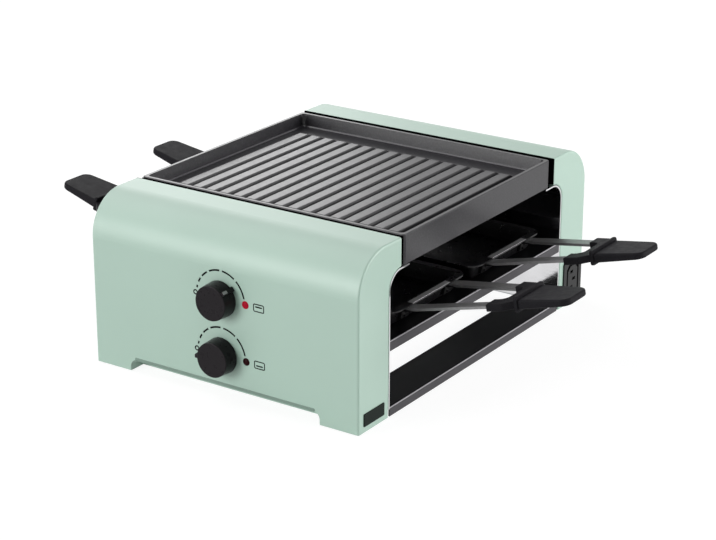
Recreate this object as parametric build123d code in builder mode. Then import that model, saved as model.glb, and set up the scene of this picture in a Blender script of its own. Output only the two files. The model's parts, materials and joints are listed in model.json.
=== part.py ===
from build123d import *
import os
from math import atan, cos, degrees, radians, sin, tan

# Tabletop raclette grill for four: two painted end housings carry a ribbed grill plate,
# and four long handled pans slide in from the sides onto a heated shelf.
# Millimetres. +X to the right, +Y to the rear, +Z up. Every piece sits at its real place.

# Whole grill
width = 252.0  # housings, along X
depth = 344.0  # front face to rear face
height = 140.0  # top of the housings
foot_lift = 1.0  # housings clear the table by this much

# Painted sheet housings
sheet = 1.5
nose_radius = 34.0  # front face rolls into the top
top_depth = 56.0  # housing top, from its outer face to the grill plate
side_depth = 40.4  # end wall beside the open bay
crease_radius = 1.5  # between a face and its end walls
notch_inset = 35.0  # hand hold in the outer face, from an end wall
notch_top = 11.0
notch_radius = 6.0
toe_depth = 15.0  # how far the hand hold goes back

# Controls on the front face
upper_knob_z = 82.0
lower_knob_z = 35.7
knob_radius = 14.0
knob_base_radius = 14.7
knob_reach = 13.0  # how far a knob stands out from the face
knob_gap = 0.5
knob_edge = 0.7
knob_wall = 2.2
knob_boss = 5.4
knob_hollow = 8.0
knob_bore = 9.0
pointer_width = 4.2
pointer_reach = 17.0
upper_knob_angle = 49.0  # pointer, clockwise from straight up
lower_knob_angle = -90.0
spindle_radius = 3.0
spindle_flat = 1.5  # what the flat takes off
spindle_clear = 0.05
spindle_depth = 8.0  # inside the thermostat
pilot_offset = 23.4  # knob axis to pilot lamp
pilot_radius = 3.1
pilot_proud = 1.2
pilot_flange = 1.2  # shoulder behind the face
pilot_shoulder = 1.0
pilot_lamp_depth = 14.0
panel_clear = 0.1

# Polished liners that close the housings towards the bay
liner_gap = 0.4
liner_sheet = 1.2
liner_end_gap = 0.3
liner_ledge = 12.0  # carries the edge of the grill plate

# Bottom
base_sheet = 1.2
base_clear = 0.3
rail_top = 8.0
rail_sheet = 1.2
rail_width = 37.3
rail_foot = 0.8  # height of a rail's lower edges
bend_radius = 1.0  # inner radius of every folded sheet
rail_tab = 10.0
rail_tab_width = 24.0
foot_radius = 8.0
foot_inset = 20.0  # from the outer face
foot_side_inset = 24.0  # from an end wall
screw_radius = 1.7
screw_head_radius = 3.0
screw_head = 1.6
screw_length = 4.0
screw_clear = 0.05

# Heated shelf under the pans
shelf_top = 62.0
shelf_hem = 8.0
shelf_sheet = 1.2
shelf_gap = 0.3
bracket_sheet = 1.5
bracket_leg = 9.0
bracket_width = 16.0
bracket_x = 100.0
shield_sheet = 0.8
shield_inset = 6.0
shield_end_gap = 11.0

# Tubular heating elements
tube_radius = 3.25
tube_clear = 0.05
leg_pitch = 46.0
leg_count = 4
element_bend = 22.0
upper_element_z = 94.0
element_end_gap = 24.0  # from a bend to the liner
element_tail = 18.0  # cold ends behind the liner
collar_radius = 6.0
collar_length = 5.0
clip_sheet = 1.2
clip_width = 8.0
clip_wing = 5.0
clip_y = 50.0
hanger_width = 12.0
hanger_leg = 14.0
hanger_overlap = 8.0

# Cast grill plate
plate_inset = 1.3  # from the end walls
plate_gap = 5.3  # to each housing
plate_clear = 0.3  # over the ledges
plate_height = 23.5
plate_rim = 3.0
plate_corner = 3.0
plate_edge = 0.8
well_depth = 11.0
under_depth = 9.0
well_draft = 9.0
well_corner = 4.0
rib_count = 16
rib_pitch = 13.4
rib_foot = 11.2  # width on the floor of the well
rib_crest = 9.0
rib_height = 3.0
rib_margin = 21.9  # from a rib's foot to the wall of the well
rib_slope = 5.0  # ramp at each end of a rib
rib_edge = 0.9

# Pans
pan_size = 110.0
pan_corner = 12.0
pan_flange = 5.0
pan_sheet = 1.2
pan_height = 14.3
pan_draft = 12.0
pan_floor_radius = 2.6
pan_inner_x = 8.0  # pan edge nearest to the middle
pan_spacing = 9.0  # between the two pans of a side
pan_clear = 0.3

# Arms of a pan
arm_width = 11.0
arm_sheet = 2.2
arm_spread = 31.0  # half of the spacing at the pan
arm_toe_in = 8.2
arm_rise = 11.9
arm_drop = 3.3  # below the rim where an arm leaves the pan
arm_tab = 7.8
arm_bend = 2.4
arm_stub = 8.0
arm_length = 69.0
rivet_radius = 1.6
rivet_head_radius = 2.6
rivet_head = 1.1
rivet_drop = 7.7
rivet_clear = 0.05

# Plastic grips
grip_start = 64.1  # pan flange to prongs
grip_z = 90.6  # top of the prong ends
grip_rise = 12.1
grip_length = 63.0
prong_half = 29.0
prong_reach = 13.0  # where the outer edge of a prong turns in
prong_narrow = 2.0  # and how far it has closed in by then
prong_thickness = 5.9
prong_edge = 0.8
palm_half = 19.7  # at the guard
palm_swell = 0.6  # above the prongs behind the guard
palm_thickness = 7.8
palm_edge = 1.6
tip_half = 16.2
tip_drop = 0.3  # below the tops of the prongs
tip_thickness = 5.2
tip_radius = 8.0
shoulder_radius = 4.0
crotch_half = 15.2
crotch_depth = 9.5
crotch_radius = 6.5
guard_at = 20.9
guard_width = 3.0
guard_crest = 3.2
guard_side = 1.3
guard_under = 1.7
guard_corner = 2.0
guard_edge = 0.7
socket_clear = 0.15

# Inside the housings
control_standoff = 4.0
control_sheet = 1.6
control_left = 24.0
control_right = 33.0
control_top = 103.0
control_foot = 9.0
bushing_radius = 4.5
bushing_tip = 0.4  # stays back from the face
nut_flats = 13.0
nut_height = 2.4
thermostat_radius = 14.0
thermostat_depth = 20.0
blade_width = 6.3
blade_sheet = 0.8
blade_length = 8.0
blade_spacing = 9.0
terminal_length = 52.0
terminal_width = 20.0
terminal_height = 16.0
terminal_count = 5
terminal_pitch = 9.6
terminal_bore = 2.2
terminal_depth = 10.0

# Appliance sockets in the end walls of the rear housing
socket_inset = 18.1  # from the rear face
socket_z = 22.8
socket_frame_y = 30.6
socket_frame_z = 36.0
socket_frame_corner = 2.5
socket_proud = 1.2
socket_body_y = 25.6
socket_body_z = 31.0
socket_depth = 20.0
socket_well_depth = 15.0
core_y = 16.4
core_z = 24.4
core_chamfer = 4.0
core_trench = 2.2
contact_pitch = 7.0
contact_offset = 2.0
contact_long = 4.0
contact_thick = 2.0
contact_clear = 0.3
pin_length = 14.0
pin_root = 3.0

mid_y = knob_reach / 2  # halfway between the housings; the whole outline is centred
front_y = mid_y - depth / 2
rear_y = mid_y + depth / 2
middle = Plane.XZ.offset(-mid_y)
front_face = Plane.XZ.offset(-front_y)
right_end = Plane.YZ.offset(width / 2)
plate_bottom = height - plate_height
step_z = plate_bottom - plate_clear + liner_gap  # where the end wall steps out towards the plate
step_radius = top_depth - side_depth
notch_half = width / 2 - notch_inset
step_base = step_z - step_radius
inner_y = front_y + top_depth
bay_y = front_y + side_depth
bay_half = depth / 2 - side_depth - liner_gap - liner_sheet  # liner face to the middle
liner_face = mid_y - bay_half
liner_x = width / 2 - liner_end_gap
base_top = rail_top - rail_sheet
lower_element_z = shelf_top - shelf_sheet - tube_clear - tube_radius
socket_y = rear_y - socket_inset
foot_x = width / 2 - foot_side_inset


def save(solid, name):
    """writes one named piece"""
    solid.label = name
    export_step(solid, "parts/" + name + ".step")


def hand_hold(margin):
    """outline of the hand hold on the front face, opened by a margin"""
    with BuildSketch(front_face) as outline:
        Rectangle(2 * (notch_half + margin), 2 * (notch_top + margin))
        fillet(outline.vertices(), notch_radius + margin)
    return outline.sketch


def housing_shell():
    """painted cover: face, nose, top and end walls, open below and towards the bay"""
    nose = (front_y + nose_radius, height - nose_radius)
    with BuildPart() as hollow:
        with BuildSketch(Plane.YZ):
            with BuildLine():
                rise = Line((front_y + sheet, 0), (front_y + sheet, nose[1]))
                roll = CenterArc(nose, nose_radius - sheet, 180, -90)
                top = Line(roll @ 1, (inner_y - sheet, height - sheet))
                beyond = inner_y + step_radius
                Polyline(top @ 1, (inner_y - sheet, step_z), (beyond, step_z), (beyond, 0), rise @ 0)
            make_face()
        extrude(amount=width / 2 - sheet, both=True)
        extrude(hand_hold(sheet), amount=-toe_depth - sheet, mode=Mode.SUBTRACT)
    with BuildPart() as shell:
        with BuildSketch(Plane.YZ):
            with BuildLine():
                rise = Line((front_y, foot_lift), (front_y, nose[1]))
                roll = CenterArc(nose, nose_radius, 180, -90)
                top = Line(roll @ 1, (inner_y, height))
                drop = Line(top @ 1, (inner_y, step_z))
                step = CenterArc((inner_y, step_base), step_radius, 90, 90)
                Polyline(step @ 1, (bay_y, foot_lift), rise @ 0)
            make_face()
        extrude(amount=width / 2, both=True)
        ends = shell.faces().sort_by(Axis.X)[0].edges() + shell.faces().sort_by(Axis.X)[-1].edges()
        outer = ends.filter_by(lambda e: e.center().Z > height - nose_radius or e.center().Y < front_y + 0.01)
        fillet(outer.filter_by(lambda e: e.center().Y < inner_y - sheet), crease_radius)
        extrude(hand_hold(0), amount=-toe_depth, mode=Mode.SUBTRACT)
        add(hollow.part, mode=Mode.SUBTRACT)
    return shell.part


def arch(wide, tall, radius):
    """upright rectangle on its lower edge, with rounded upper corners"""
    with BuildSketch(mode=Mode.PRIVATE) as outline:
        Rectangle(wide, tall, align=(Align.CENTER, Align.MIN))
        fillet(outline.vertices().group_by(Axis.Y)[-1], radius)
    return outline.sketch


def channel(center_x, wide, low, high, thick, half_length):
    """folded sheet with a flat top and two hems, running along Y between the liners"""
    with BuildPart() as folded:
        with BuildSketch(middle):
            with Locations((center_x, low)):
                add(arch(wide, high - low, bend_radius + thick))
                add(arch(wide - 2 * thick, high - low - thick, bend_radius), mode=Mode.SUBTRACT)
        extrude(amount=half_length, both=True)
    return folded.part


def liner():
    """front liner: upright wall, quarter roll and the ledge under the grill plate"""
    outer = step_radius - liner_gap
    inner = outer - liner_sheet
    with BuildPart() as wall:
        with BuildSketch(Plane.YZ):
            with BuildLine():
                back = Line((inner_y - outer, base_top), (inner_y - outer, step_base))
                over = CenterArc((inner_y, step_base), outer, 180, -90)
                ledge = Line(over @ 1, (inner_y + liner_ledge, step_base + outer))
                edge = Line(ledge @ 1, (inner_y + liner_ledge, step_base + inner))
                under = Line(edge @ 1, (inner_y, step_base + inner))
                inside = CenterArc((inner_y, step_base), inner, 90, 90)
                Polyline(inside @ 1, (liner_face, base_top), back @ 0)
            make_face()
        extrude(amount=liner_x, both=True)
        with BuildSketch(middle):
            with Locations((rail_x, base_top), (-rail_x, base_top)):
                Rectangle(rail_tab_width + 2 * base_clear, 2 * (rail_sheet + base_clear))
        extrude(amount=depth, both=True, mode=Mode.SUBTRACT)
    return wall.part


def base_plate():
    """bottom of the front housing, cut back behind the hand hold"""
    near = front_y + sheet + base_clear
    with BuildPart() as plate:
        with BuildSketch(Plane.XY.offset(base_top - base_sheet)):
            with Locations((0, (near + liner_face) / 2)):
                Rectangle(2 * (width / 2 - sheet - base_clear), liner_face - near)
            with Locations((0, front_y)):
                back = toe_depth + sheet + base_clear
                Rectangle(2 * (notch_half + sheet + base_clear), 2 * back, mode=Mode.SUBTRACT)
            with Locations(*foot_places()):
                Circle(screw_radius + screw_clear, mode=Mode.SUBTRACT)
            with Locations((rail_x, rail_screw_y), (-rail_x, rail_screw_y)):
                Circle(screw_radius + screw_clear, mode=Mode.SUBTRACT)
        extrude(amount=base_sheet)
    return plate.part


def foot_places():
    """centres of the two feet under the front housing"""
    return (-foot_x, front_y + foot_inset), (foot_x, front_y + foot_inset)


def angle_bracket(x, top, reach, leg, wide, thick):
    """folded angle on the rear liner: a leg on the wall and an arm towards the bay"""
    wall_y = mid_y + bay_half
    with BuildPart() as angle:
        with BuildSketch(Plane.YZ.offset(x)) as section:
            Polygon(
                (wall_y, top),
                (wall_y - reach, top),
                (wall_y - reach, top - thick),
                (wall_y - thick, top - thick),
                (wall_y - thick, top - leg),
                (wall_y, top - leg),
                align=None,
            )
            corners = section.vertices().sort_by_distance((wall_y, top))
            fillet(corners[0], bend_radius + thick)
            fillet(section.vertices().sort_by_distance((wall_y - thick, top - thick))[0], bend_radius)
        extrude(amount=wide / 2, both=True)
    return angle.part


def heating_element(level):
    """bent tube with both cold ends through the front liner, a collar behind it on each"""
    first = -leg_pitch * (leg_count - 1) / 2
    start = liner_face - liner_sheet - element_tail
    near = mid_y - bay_half + element_end_gap
    far = mid_y + bay_half - element_end_gap
    points = [(first, start, level)]
    for leg in range(leg_count - 1):
        turn = far if leg % 2 == 0 else near
        points.append((first + leg * leg_pitch, turn, level))
        points.append((first + (leg + 1) * leg_pitch, turn, level))
    points.append((-first, start, level))
    with BuildPart() as tube:
        with BuildLine() as path:
            FilletPolyline(*points, radius=element_bend)
        with BuildSketch(Plane.XZ.offset(-start)):
            with Locations((first, level)):
                Circle(tube_radius)
        sweep(path=path.line)
        with BuildSketch(Plane.XZ.offset(liner_sheet - liner_face)):
            with Locations((first, level), (-first, level)):
                Circle(collar_radius)
        extrude(amount=collar_length)
    return tube.part


def element_holes(level):
    """holes in the front liner for the cold ends of an element"""
    outermost = leg_pitch * (leg_count - 1) / 2
    with BuildSketch(Plane.XZ.offset(-liner_face)) as holes:
        with Locations((-outermost, level), (outermost, level)):
            Circle(tube_radius + tube_clear)
    return holes.sketch


def knob_plane(level, angle):
    """back of a knob, its second axis along the pointer"""
    turn = radians(angle)
    origin = (0, front_y - knob_gap, level)
    return Plane(origin, x_dir=(cos(turn), 0, -sin(turn)), z_dir=(0, -1, 0))


def shaft_outline(clear):
    """spindle section with its flat towards the pointer"""
    radius = spindle_radius + clear
    with BuildSketch(mode=Mode.PRIVATE) as outline:
        Circle(radius)
        with Locations((0, spindle_radius - spindle_flat + clear)):
            Rectangle(2 * radius, 2 * radius, align=(Align.CENTER, Align.MIN), mode=Mode.SUBTRACT)
    return outline.sketch


def control_knob(level, angle):
    """hollow turning knob with a pointer rib along its side"""
    plane = knob_plane(level, angle)
    long = knob_reach - knob_gap
    slant = degrees(atan((knob_base_radius - knob_radius) / long))
    with BuildPart() as knob:
        with BuildSketch(plane):
            Circle(knob_base_radius)
        extrude(amount=long, taper=slant)
        with BuildSketch(plane):
            Rectangle(pointer_width, pointer_reach, align=(Align.CENTER, Align.MIN))
        extrude(amount=long - knob_edge, taper=slant)
        rim = knob.faces().sort_by(Axis.Y)[0].edges().filter_by(GeomType.CIRCLE)
        fillet(rim, knob_edge)
        with BuildSketch(plane):
            Circle(knob_radius - knob_wall)
            Circle(knob_boss, mode=Mode.SUBTRACT)
        extrude(amount=knob_hollow, mode=Mode.SUBTRACT)
        with BuildSketch(plane):
            add(shaft_outline(spindle_clear))
        extrude(amount=knob_bore, mode=Mode.SUBTRACT)
    return knob.part


def spindle(level, angle):
    """steel shaft from the thermostat into the knob"""
    plane = knob_plane(level, angle)
    inward = knob_gap + sheet + control_standoff + control_sheet + spindle_depth
    with BuildPart() as shaft:
        with BuildSketch(plane):
            Circle(spindle_radius)
        extrude(amount=-inward)
        with BuildSketch(plane):
            add(shaft_outline(0))
        extrude(amount=knob_bore - spindle_clear)
    return shaft.part


def thermostat(level):
    """round ceramic body behind the control bracket, with its bushing and terminal blades"""
    seat = Plane.XZ.offset(-front_y - sheet - control_standoff - control_sheet)
    ahead = control_sheet + control_standoff + sheet - bushing_tip
    with BuildPart() as body:
        with BuildSketch(seat):
            with Locations((0, level)):
                Circle(thermostat_radius)
        extrude(amount=-thermostat_depth)
        with BuildSketch(seat):
            with Locations((0, level)):
                Circle(bushing_radius)
        extrude(amount=ahead)
        with BuildSketch(seat.offset(-thermostat_depth)):
            with Locations((-blade_spacing / 2, level), (blade_spacing / 2, level)):
                Rectangle(blade_sheet, blade_width)
        extrude(amount=-blade_length)
        with BuildSketch(seat.offset(ahead)):
            with Locations((0, level)):
                Circle(spindle_radius + spindle_clear)
        extrude(amount=-ahead - spindle_depth - spindle_clear, mode=Mode.SUBTRACT)
    return body.part


def pilot_lens(level):
    """domed lens with a shoulder behind the face"""
    dome = (pilot_radius ** 2 + pilot_proud ** 2) / (2 * pilot_proud)
    back = front_y + sheet
    with BuildPart() as lens:
        with BuildSketch(Plane.YZ.offset(pilot_offset)):
            with BuildLine():
                axis = Line((front_y - pilot_proud, level), (back + pilot_flange, level))
                shoulder = Polyline(
                    axis @ 1,
                    (back + pilot_flange, level + pilot_radius + pilot_shoulder),
                    (back, level + pilot_radius + pilot_shoulder),
                    (back, level + pilot_radius),
                    (front_y, level + pilot_radius),
                )
                RadiusArc(axis @ 0, shoulder @ 1, dome)
            make_face()
        revolve(axis=Axis((pilot_offset, 0, level), (0, 1, 0)))
    return lens.part


def pilot_lamp(level):
    """lamp body behind a lens, held in the control bracket"""
    with BuildPart() as lamp:
        with BuildSketch(Plane.XZ.offset(-front_y - sheet - pilot_flange)):
            with Locations((pilot_offset, level)):
                Circle(pilot_radius + pilot_shoulder)
        extrude(amount=-pilot_lamp_depth)
    return lamp.part


def socket_body():
    """moulded frame and body of an appliance socket in the right end wall"""
    with BuildPart() as body:
        with BuildSketch(right_end):
            with Locations((socket_y, socket_z)):
                RectangleRounded(socket_frame_y, socket_frame_z, socket_frame_corner)
        extrude(amount=socket_proud)
        with BuildSketch(right_end):
            with Locations((socket_y, socket_z)):
                Rectangle(socket_body_y, socket_body_z)
        extrude(amount=-socket_depth)
    return body.part


def socket_core(margin):
    """standard outline of the connector, two corners cut, opened by a margin"""
    with BuildSketch(right_end.offset(socket_proud)) as outline:
        with Locations((socket_y, socket_z)):
            Rectangle(core_y + 2 * margin, core_z + 2 * margin)
        chamfer(outline.vertices().group_by(Axis.Y)[-1], core_chamfer)
    return outline.sketch


def contact_outline(margin, out):
    """three contacts in their standard pattern, at a distance out from the right end wall"""
    rows = (
        (socket_y - contact_offset, socket_z - contact_pitch),
        (socket_y + contact_offset, socket_z),
        (socket_y - contact_offset, socket_z + contact_pitch),
    )
    with BuildSketch(right_end.offset(out)) as outline:
        with Locations(*rows):
            Rectangle(contact_long + 2 * margin, contact_thick + 2 * margin)
    return outline.sketch


rail_x = liner_x - rail_width / 2
rail_half = bay_half - base_clear
rail_screw_y = mid_y - rail_half - rail_tab / 2
os.makedirs("parts", exist_ok=True)

# Painted housings
with BuildPart() as front_housing:
    add(housing_shell())
    with BuildSketch(front_face):
        with Locations((0, upper_knob_z), (0, lower_knob_z)):
            Circle(bushing_radius + panel_clear)
        with Locations((pilot_offset, upper_knob_z), (pilot_offset, lower_knob_z)):
            Circle(pilot_radius + panel_clear)
    extrude(amount=-2 * sheet, mode=Mode.SUBTRACT)
save(front_housing.part, "front_housing")

with BuildPart() as rear_housing:
    add(housing_shell())
    mirror(about=middle, mode=Mode.REPLACE)
    with BuildSketch(Plane.YZ):
        with Locations((socket_y, socket_z)):
            Rectangle(socket_body_y + 2 * panel_clear, socket_body_z + 2 * panel_clear)
    extrude(amount=width, both=True, mode=Mode.SUBTRACT)
save(rear_housing.part, "rear_housing")

# Liners, the front one with holes for the cold ends of the elements
with BuildPart() as front_liner:
    add(liner())
    for level in (lower_element_z, upper_element_z):
        extrude(element_holes(level), amount=2 * liner_sheet, both=True, mode=Mode.SUBTRACT)
save(front_liner.part, "front_liner")

with BuildPart() as rear_liner:
    add(liner())
    mirror(about=middle, mode=Mode.REPLACE)
save(rear_liner.part, "rear_liner")

# Base plates, the rails that join them at each side, feet and screws
with BuildPart() as front_base_plate:
    add(base_plate())
save(front_base_plate.part, "front_base_plate")

with BuildPart() as rear_base_plate:
    add(base_plate())
    mirror(about=middle, mode=Mode.REPLACE)
save(rear_base_plate.part, "rear_base_plate")

with BuildPart() as right_rail:
    add(channel(rail_x, rail_width, rail_foot, rail_top, rail_sheet, rail_half))
    with BuildSketch(Plane.XY.offset(base_top)):
        with Locations((rail_x, mid_y)):
            Rectangle(rail_tab_width, 2 * (rail_half + rail_tab))
            Rectangle(rail_tab_width, 2 * (rail_half - rail_tab), mode=Mode.SUBTRACT)
    extrude(amount=rail_sheet)
    with BuildSketch(Plane.XY):
        with Locations((rail_x, rail_screw_y), (rail_x, 2 * mid_y - rail_screw_y)):
            Circle(screw_radius + screw_clear)
    extrude(amount=height, mode=Mode.SUBTRACT)
save(right_rail.part, "right_rail")

with BuildPart() as left_rail:
    add(right_rail.part)
    mirror(about=Plane.YZ, mode=Mode.REPLACE)
save(left_rail.part, "left_rail")

foot_height = base_top - base_sheet
with BuildPart() as rubber_foot:
    with Locations(foot_places()[1]):
        Cylinder(foot_radius, foot_height, align=(Align.CENTER, Align.CENTER, Align.MIN))
        chamfer(rubber_foot.edges().filter_by(GeomType.CIRCLE).sort_by(Axis.Z)[0], 0.8)
        Hole(screw_radius + screw_clear)
    with Locations((*foot_places()[1], 0)):
        Cylinder(
            screw_head_radius + base_clear,
            2 * screw_head,
            align=(Align.CENTER, Align.CENTER, Align.MIN),
            mode=Mode.SUBTRACT,
        )
for name, planes in (
    ("front_right_foot", ()),
    ("front_left_foot", (Plane.YZ,)),
    ("rear_right_foot", (middle,)),
    ("rear_left_foot", (Plane.YZ, middle)),
):
    with BuildPart() as foot:
        add(rubber_foot.part)
        for plane in planes:
            mirror(about=plane, mode=Mode.REPLACE)
    save(foot.part, name)

with BuildPart() as base_screws:
    with BuildSketch(Plane.XY.offset(2 * screw_head)):
        with Locations(*foot_places()):
            Circle(screw_head_radius)
    extrude(amount=-screw_head)
    with BuildSketch(Plane.XY.offset(2 * screw_head)):
        with Locations(*foot_places()):
            Circle(screw_radius)
    extrude(amount=foot_height - 2 * screw_head + screw_length)
    with BuildSketch(Plane.XY.offset(foot_height)):
        with Locations((rail_x, rail_screw_y), (-rail_x, rail_screw_y)):
            Circle(screw_head_radius)
    extrude(amount=-screw_head)
    with BuildSketch(Plane.XY.offset(foot_height)):
        with Locations((rail_x, rail_screw_y), (-rail_x, rail_screw_y)):
            Circle(screw_radius)
    extrude(amount=screw_length)
    mirror(about=middle)
save(base_screws.part, "base_screws")

# Heated shelf, what carries it and the shield under its element
shelf_half = bay_half - shelf_gap
with BuildPart() as heater_shelf:
    add(channel(0, 2 * liner_x, shelf_top - shelf_hem, shelf_top, shelf_sheet, shelf_half))
save(heater_shelf.part, "heater_shelf")

with BuildPart() as shelf_brackets:
    for x in (-bracket_x, bracket_x):
        add(angle_bracket(x, shelf_top - shelf_sheet, bracket_leg, bracket_leg, bracket_width, bracket_sheet))
    mirror(about=middle)
save(shelf_brackets.part, "shelf_brackets")

clip_radius = tube_radius + tube_clear + clip_sheet
shield_half = liner_x - shelf_sheet - shield_inset
shield_low = lower_element_z - clip_radius - base_clear - shield_sheet
with BuildPart() as heat_shield:
    with BuildSketch(middle):
        with Locations((0, shelf_top - shelf_sheet)):
            top_edge = (Align.CENTER, Align.MAX)
            tall = shelf_top - shelf_sheet - shield_low
            Rectangle(2 * shield_half, tall, align=top_edge)
            Rectangle(2 * (shield_half - shield_sheet), tall - shield_sheet, align=top_edge, mode=Mode.SUBTRACT)
    extrude(amount=bay_half - shield_end_gap, both=True)
save(heat_shield.part, "heat_shield")

# Heating elements
with BuildPart() as lower_element:
    add(heating_element(lower_element_z))
save(lower_element.part, "lower_element")

with BuildPart() as upper_element:
    add(heating_element(upper_element_z))
save(upper_element.part, "upper_element")

with BuildPart() as element_clips:
    with BuildSketch(middle):
        with Locations((-leg_pitch / 2, lower_element_z), (leg_pitch / 2, lower_element_z)):
            Circle(clip_radius)
        with Locations((-leg_pitch / 2, shelf_top - shelf_sheet), (leg_pitch / 2, shelf_top - shelf_sheet)):
            Rectangle(2 * (clip_radius + clip_wing), clip_sheet, align=(Align.CENTER, Align.MAX))
            Rectangle(3 * clip_radius, 3 * clip_radius, align=(Align.CENTER, Align.MIN), mode=Mode.SUBTRACT)
        with Locations((-leg_pitch / 2, lower_element_z), (leg_pitch / 2, lower_element_z)):
            Circle(tube_radius + tube_clear, mode=Mode.SUBTRACT)
            throat = 2 * (tube_radius + tube_clear)
            Rectangle(throat, throat, align=(Align.CENTER, Align.MIN), mode=Mode.SUBTRACT)
    extrude(amount=clip_y + clip_width / 2, both=True)
    with BuildSketch(middle):
        Rectangle(width, height, align=(Align.CENTER, Align.MIN))
    extrude(amount=clip_y - clip_width / 2, both=True, mode=Mode.SUBTRACT)
save(element_clips.part, "element_clips")

with BuildPart() as element_hangers:
    for x in (-leg_pitch, leg_pitch):
        top = upper_element_z - tube_radius - tube_clear
        reach = element_end_gap + hanger_overlap
        add(angle_bracket(x, top, reach, hanger_leg, hanger_width, bracket_sheet))
save(element_hangers.part, "element_hangers")

# Grill plate: a drafted well with ribs above, and the same casting hollow below
plate_half_x = width / 2 - plate_inset
plate_half_y = depth / 2 - top_depth - plate_gap
floor_z = height - well_depth
lost = well_depth * tan(radians(well_draft))
rib_long = 2 * (plate_half_y - plate_rim - lost - rib_margin)
with BuildPart() as rib:
    with BuildSketch(Plane.XY.offset(floor_z)):
        with Locations((0, mid_y)):
            Rectangle(rib_foot, rib_long)
    with BuildSketch(Plane.XY.offset(floor_z + rib_height)):
        with Locations((0, mid_y)):
            Rectangle(rib_crest, rib_long - 2 * rib_slope)
    loft()
    fillet(rib.edges().group_by(Axis.Z)[-1], rib_edge)

with BuildPart() as grill_plate:
    with BuildSketch(Plane.XY.offset(plate_bottom)):
        with Locations((0, mid_y)):
            RectangleRounded(2 * plate_half_x, 2 * plate_half_y, plate_corner)
    extrude(amount=plate_height)
    fillet(grill_plate.edges().group_by(Axis.Z)[-1], plate_edge)
    with BuildSketch(Plane((0, mid_y, height), x_dir=(1, 0, 0), z_dir=(0, 0, -1))):
        RectangleRounded(2 * (plate_half_x - plate_rim), 2 * (plate_half_y - plate_rim), well_corner)
    extrude(amount=well_depth, taper=well_draft, mode=Mode.SUBTRACT)
    with BuildSketch(Plane((0, mid_y, plate_bottom), x_dir=(1, 0, 0), z_dir=(0, 0, 1))):
        RectangleRounded(2 * (plate_half_x - plate_rim), 2 * (plate_half_y - plate_rim), well_corner)
    extrude(amount=under_depth, taper=well_draft, mode=Mode.SUBTRACT)
    with GridLocations(rib_pitch, 0, rib_count, 1):
        add(rib.part)
save(grill_plate.part, "grill_plate")

# One pan with its arms, rivets and grip, at the rear right
pan_x = pan_inner_x + pan_size / 2
pan_y = mid_y + (pan_spacing + pan_size) / 2
rim_z = shelf_top + pan_clear + pan_height
body_size = pan_size - 2 * pan_flange
pan_rim = Plane((pan_x, pan_y, rim_z), x_dir=(1, 0, 0), z_dir=(0, 0, -1))
slant = radians(pan_draft)
wall_plane = Plane(
    (pan_x + body_size / 2, pan_y, rim_z),
    x_dir=(0, 1, 0),
    z_dir=(cos(slant), 0, -sin(slant)),
)
wall_sheet = pan_sheet / cos(slant)


def pan_form(size, corner, tall, radius):
    """drafted dish below the rim plane, rounded round its floor"""
    with BuildPart() as form:
        with BuildSketch(pan_rim):
            RectangleRounded(size, size, corner)
        extrude(amount=tall, taper=pan_draft)
        fillet(form.edges().group_by(Axis.Z)[0], radius)
    return form.part


with BuildPart() as pan:
    with BuildSketch(pan_rim):
        RectangleRounded(pan_size, pan_size, pan_corner)
    extrude(amount=pan_sheet)
    add(pan_form(body_size, pan_corner - pan_flange, pan_height, pan_floor_radius + pan_sheet))
    inside = body_size - 2 * wall_sheet
    corner = pan_corner - pan_flange - wall_sheet
    add(pan_form(inside, corner, pan_height - pan_sheet, pan_floor_radius), mode=Mode.SUBTRACT)
    with BuildSketch(wall_plane):
        with Locations((-arm_spread, -rivet_drop), (arm_spread, -rivet_drop)):
            Circle(rivet_radius + rivet_clear)
    extrude(amount=2 * pan_sheet, both=True, mode=Mode.SUBTRACT)

rise = radians(arm_rise)
elbow_x = pan_x + body_size / 2 + arm_sheet / 2 * cos(slant) - arm_drop * sin(slant)
elbow_z = rim_z - arm_sheet / 2 * sin(slant) - arm_drop * cos(slant)
tab_x = elbow_x - arm_tab * sin(slant)
tab_z = elbow_z - arm_tab * cos(slant)
stub_x = elbow_x + arm_stub * cos(rise)
stub_z = elbow_z + arm_stub * sin(rise)
arm_plane = Plane((stub_x, pan_y, stub_z), x_dir=(cos(rise), 0, sin(rise)), z_dir=(-sin(rise), 0, cos(rise)))


def arm_strips(clear):
    """both flat arms from their stubs into the grip, thickened by a clearance"""
    toe = radians(arm_toe_in)
    with BuildPart() as strips:
        with BuildSketch(arm_plane):
            for side in (-1, 1):
                halfway = (arm_length / 2 * cos(toe), side * (arm_spread - arm_length / 2 * sin(toe)))
                with Locations(Location(halfway, -side * arm_toe_in)):
                    SlotCenterToCenter(arm_length, arm_width + 2 * clear)
        extrude(amount=arm_sheet / 2 + clear, both=True)
    return strips.part


with BuildPart() as arms:
    for side in (-1, 1):
        y = pan_y + side * arm_spread
        with BuildLine() as path:
            FilletPolyline((tab_x, y, tab_z), (elbow_x, y, elbow_z), (stub_x, y, stub_z), radius=arm_bend)
        with BuildSketch(Plane((tab_x, y, tab_z), x_dir=(0, 1, 0), z_dir=(sin(slant), 0, cos(slant)))):
            Rectangle(arm_width, arm_sheet)
        sweep(path=path.line)
    add(arm_strips(0))
    with BuildSketch(wall_plane):
        with Locations((-arm_spread, -rivet_drop), (arm_spread, -rivet_drop)):
            Circle(rivet_radius + rivet_clear)
    extrude(amount=2 * arm_sheet, mode=Mode.SUBTRACT)

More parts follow.
